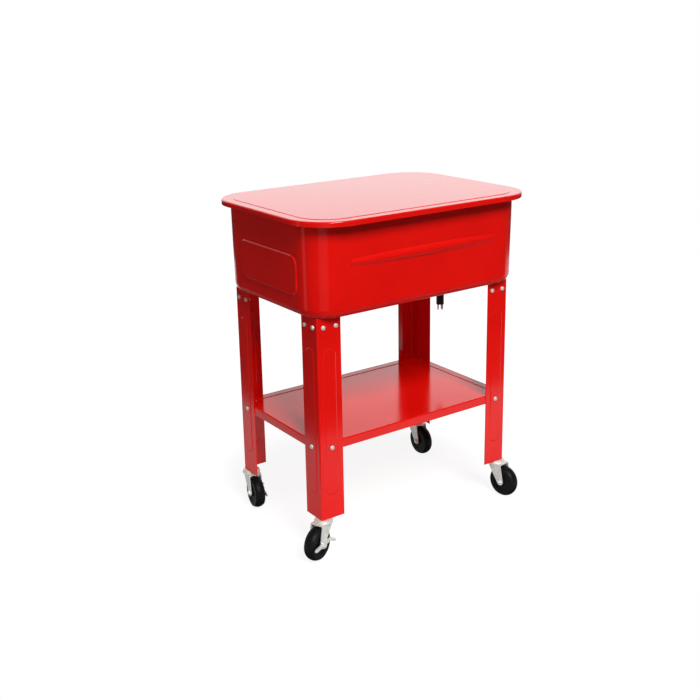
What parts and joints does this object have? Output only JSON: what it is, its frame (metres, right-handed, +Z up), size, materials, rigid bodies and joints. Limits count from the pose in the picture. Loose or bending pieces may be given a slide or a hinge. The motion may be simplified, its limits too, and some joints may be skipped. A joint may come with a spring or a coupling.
{
  "type": "parts washer",
  "caption": "Pressed-steel parts washer: rounded tub with a hinged flat lid on ribbed angle legs, with a lower shelf, swivel casters, pump, spout and mains lead.",
  "frame": {"origin": "on the floor under the middle of the lid", "axes": "+X right along the long side, -Y the front, +Z up"},
  "size_m": [0.7579, 0.532, 0.9018],
  "materials": {
    "red_powder_coat": "gloss powder coat",
    "zinc_plated_steel": "bright zinc",
    "spout_steel": "flexible interlocked tube",
    "wheel_rubber": "hard black rubber, satin",
    "bumper_rubber": "matte",
    "hose_rubber": "matte",
    "cord_jacket": "satin mains jacket",
    "black_plastic": "fine grain",
    "rocker_plastic": "gloss",
    "tie_plastic": "nylon",
    "brass": "bare brass"
  },
  "bodies": {
    "stand": {"tub": "red_powder_coat", "lid_bumpers": "bumper_rubber", "hinge_tub_leaves": "zinc_plated_steel", "hinge_pins": "zinc_plated_steel", "stay_bracket": "zinc_plated_steel", "leg_front_left": "red_powder_coat", "leg_front_right": "red_powder_coat", "leg_rear_left": "red_powder_coat", "leg_rear_right": "red_powder_coat", "leg_brackets": "red_powder_coat", "leg_bolts": "zinc_plated_steel", "leg_nuts": "zinc_plated_steel", "shelf": "red_powder_coat", "shelf_bolts": "zinc_plated_steel", "shelf_nuts": "zinc_plated_steel", "foot_plates": "red_powder_coat", "caster_stems": "zinc_plated_steel", "caster_nuts": "zinc_plated_steel", "tray_supports": "red_powder_coat", "work_tray": "red_powder_coat", "pump_strainer": "black_plastic", "pump_body": "black_plastic", "pump_hose": "hose_rubber", "spout_bracket": "red_powder_coat", "spout_base": "brass", "drain_socket": "zinc_plated_steel", "drain_plug": "zinc_plated_steel", "switch_box": "black_plastic", "pump_lead": "cord_jacket", "cord_gland": "black_plastic", "cord_lead": "cord_jacket", "cord_coil": "cord_jacket", "cord_tail": "cord_jacket", "cord_tie": "tie_plastic", "tie_saddle": "tie_plastic", "plug_body": "cord_jacket", "plug_prongs": "zinc_plated_steel"},
    "lid": {"lid": "red_powder_coat", "hinge_lid_leaves": "zinc_plated_steel", "stay_lid_tab": "zinc_plated_steel"},
    "stay_arm": {"stay_arm": "zinc_plated_steel"},
    "fusible_link": {"fusible_link": "brass"},
    "spout": {"spout": "spout_steel", "spout_nozzle": "black_plastic"},
    "rocker": {"switch_rocker": "rocker_plastic"},
    "swivel_front_left": {"caster_fork_front_left": "zinc_plated_steel", "caster_axle_front_left": "zinc_plated_steel"},
    "wheel_front_left": {"caster_wheel_front_left": "wheel_rubber"},
    "brake_front_left": {"brake_lever_front_left": "zinc_plated_steel"},
    "swivel_front_right": {"caster_fork_front_right": "zinc_plated_steel", "caster_axle_front_right": "zinc_plated_steel"},
    "wheel_front_right": {"caster_wheel_front_right": "wheel_rubber"},
    "swivel_rear_left": {"caster_fork_rear_left": "zinc_plated_steel", "caster_axle_rear_left": "zinc_plated_steel"},
    "wheel_rear_left": {"caster_wheel_rear_left": "wheel_rubber"},
    "brake_rear_left": {"brake_lever_rear_left": "zinc_plated_steel"},
    "swivel_rear_right": {"caster_fork_rear_right": "zinc_plated_steel", "caster_axle_rear_right": "zinc_plated_steel"},
    "wheel_rear_right": {"caster_wheel_rear_right": "wheel_rubber"}
  },
  "joints": [
    {"name": "lid_hinge", "type": "hinge", "parent": "stand", "child": "lid", "pos_m": [0, 0.2605, 0.8958], "axis": [-1, 0, 0], "range_deg": [0, 95]},
    {"name": "stay_foot", "type": "hinge", "parent": "stand", "child": "stay_arm", "pos_m": [0, 0.1855, 0.8338], "axis": [-1, 0, 0], "range_deg": [0, 95]},
    {"name": "link_pivot", "type": "hinge", "parent": "lid", "child": "fusible_link", "pos_m": [0, 0.1105, 0.8708], "axis": [-1, 0, 0], "range_deg": [-95, 0]},
    {"name": "spout_swivel", "type": "hinge", "parent": "stand", "child": "spout", "pos_m": [0.242, 0.17, 0.818], "axis": [0, 0, 1], "range_deg": [-40, 40]},
    {"name": "rocker_pivot", "type": "hinge", "parent": "stand", "child": "rocker", "pos_m": [0.3757, 0.144, 0.8438], "axis": [0, 1, 0], "range_deg": [0, 16]},
    {"name": "swivel_front_left", "type": "hinge", "parent": "stand", "child": "swivel_front_left", "pos_m": [-0.305, -0.183, 0.1006], "axis": [0, 0, 1], "continuous": true},
    {"name": "roll_front_left", "type": "hinge", "parent": "swivel_front_left", "child": "wheel_front_left", "pos_m": [-0.33467, -0.19499, 0.045], "axis": [0.3746, -0.9272, 0], "continuous": true},
    {"name": "brake_front_left", "type": "hinge", "parent": "swivel_front_left", "child": "brake_front_left", "pos_m": [-0.33467, -0.19499, 0.045], "axis": [-0.3746, 0.9272, 0], "range_deg": [0, 25]},
    {"name": "swivel_front_right", "type": "hinge", "parent": "stand", "child": "swivel_front_right", "pos_m": [0.305, -0.183, 0.1006], "axis": [0, 0, 1], "continuous": true},
    {"name": "roll_front_right", "type": "hinge", "parent": "swivel_front_right", "child": "wheel_front_right", "pos_m": [0.3089, -0.21476, 0.045], "axis": [0.9925, 0.1219, 0], "continuous": true},
    {"name": "swivel_rear_left", "type": "hinge", "parent": "stand", "child": "swivel_rear_left", "pos_m": [-0.305, 0.195, 0.1006], "axis": [0, 0, 1], "continuous": true},
    {"name": "roll_rear_left", "type": "hinge", "parent": "swivel_rear_left", "child": "wheel_rear_left", "pos_m": [-0.31056, 0.16349, 0.045], "axis": [0.9848, -0.1736, 0], "continuous": true},
    {"name": "brake_rear_left", "type": "hinge", "parent": "swivel_rear_left", "child": "brake_rear_left", "pos_m": [-0.31056, 0.16349, 0.045], "axis": [-0.9848, 0.1736, 0], "range_deg": [0, 25]},
    {"name": "swivel_rear_right", "type": "hinge", "parent": "stand", "child": "swivel_rear_right", "pos_m": [0.305, 0.195, 0.1006], "axis": [0, 0, 1], "continuous": true},
    {"name": "roll_rear_right", "type": "hinge", "parent": "swivel_rear_right", "child": "wheel_rear_right", "pos_m": [0.3031, 0.16306, 0.045], "axis": [0.9982, -0.0593, 0], "continuous": true}
  ],
  "couplings": [
    {"joint": "stay_foot", "follows": "lid_hinge", "ratio": 1},
    {"joint": "link_pivot", "follows": "lid_hinge", "ratio": -1}
  ]
}
